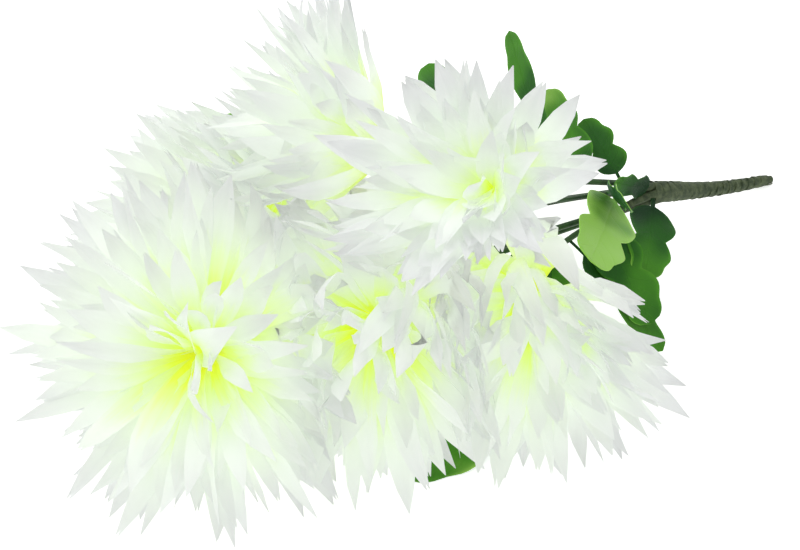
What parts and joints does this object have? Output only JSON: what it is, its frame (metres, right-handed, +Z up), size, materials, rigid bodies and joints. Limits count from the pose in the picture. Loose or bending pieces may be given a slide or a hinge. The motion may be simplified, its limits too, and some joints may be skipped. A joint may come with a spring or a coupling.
{
  "type": "artificial spider chrysanthemum spray",
  "caption": "Lying spray of full spider chrysanthemum heads with long pointed petals, leafy green stems and a taped grip.",
  "frame": {"origin": "on the surface that the spray lies on, under the middle of its bounding box", "axes": "+Z up, +X from the heads towards the grip's cut end, +Y to the side that most leaves stand on"},
  "size_m": [0.395, 0.2922, 0.2547],
  "materials": {
    "petals": "matte",
    "foliage": "satin",
    "tape": "matte"
  },
  "bodies": {
    "root": {"grip": "tape", "stem_left": "foliage", "stem_far_left": "foliage", "stem_back": "foliage", "stem_top": "foliage", "stem_front": "foliage", "stem_right": "foliage", "bloom_left": "petals", "bloom_far_left": "petals", "bloom_back": "petals", "bloom_top": "petals", "bloom_front": "petals", "bloom_right": "petals"}
  },
  "joints": []
}
